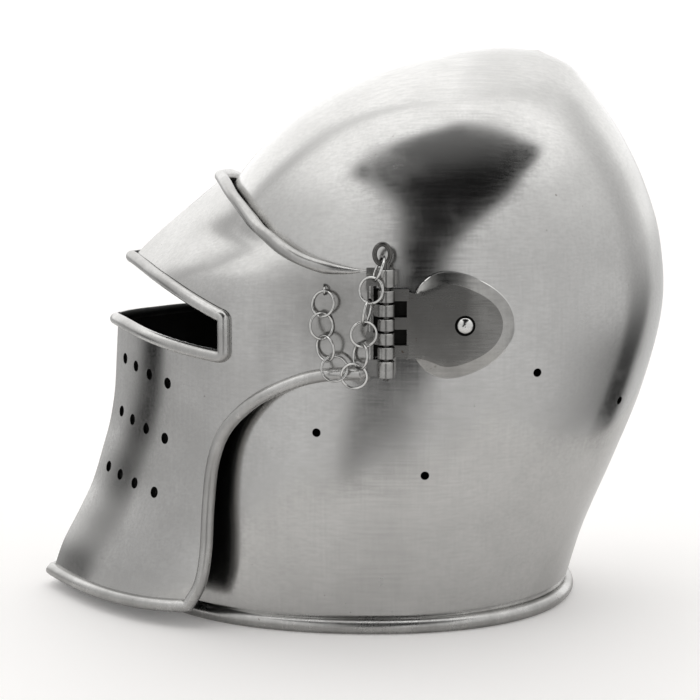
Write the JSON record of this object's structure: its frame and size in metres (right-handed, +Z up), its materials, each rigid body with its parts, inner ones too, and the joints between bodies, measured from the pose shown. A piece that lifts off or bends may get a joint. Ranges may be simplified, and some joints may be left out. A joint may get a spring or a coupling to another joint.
{
  "type": "bascinet helmet",
  "caption": "Polished steel bascinet with a pointed skull and a keeled visor with a sight slot and breaths, lifting on side pivots, with a wire chain at each hinge pin.",
  "frame": {"origin": "centre of the bounding box in X and Y, at the bottom of the rolled rim that the helmet stands on", "axes": "+Z up, -Y the way the face looks, +X the wearer's left"},
  "size_m": [0.2292, 0.3498, 0.3062],
  "materials": {
    "steel_bright": "satin polish with fine brushing",
    "steel_dark": "satin, darker in the recesses",
    "steel_wire": "bright drawn wire"
  },
  "bodies": {
    "skull_body": {"skull": "steel_bright", "pivot_rivet_left": "steel_wire", "pivot_rivet_right": "steel_wire"},
    "visor_body": {"visor": "steel_bright", "pivot_plate_left": "steel_dark", "hinge_pin_left": "steel_dark", "chain_left_01": "steel_wire", "chain_left_02": "steel_wire", "chain_left_03": "steel_wire", "chain_left_04": "steel_wire", "chain_left_05": "steel_wire", "chain_left_06": "steel_wire", "chain_left_07": "steel_wire", "chain_left_08": "steel_wire", "chain_left_09": "steel_wire", "chain_left_10": "steel_wire", "pivot_plate_right": "steel_dark", "hinge_pin_right": "steel_dark", "chain_right_01": "steel_wire", "chain_right_02": "steel_wire", "chain_right_03": "steel_wire", "chain_right_04": "steel_wire", "chain_right_05": "steel_wire", "chain_right_06": "steel_wire", "chain_right_07": "steel_wire", "chain_right_08": "steel_wire", "chain_right_09": "steel_wire", "chain_right_10": "steel_wire"}
  },
  "joints": [
    {"name": "visor_pivot", "type": "hinge", "parent": "skull_body", "child": "visor_body", "pos_m": [0, 0.0596, 0.168], "axis": [-1, 0, 0], "range_deg": [0, 60]}
  ]
}
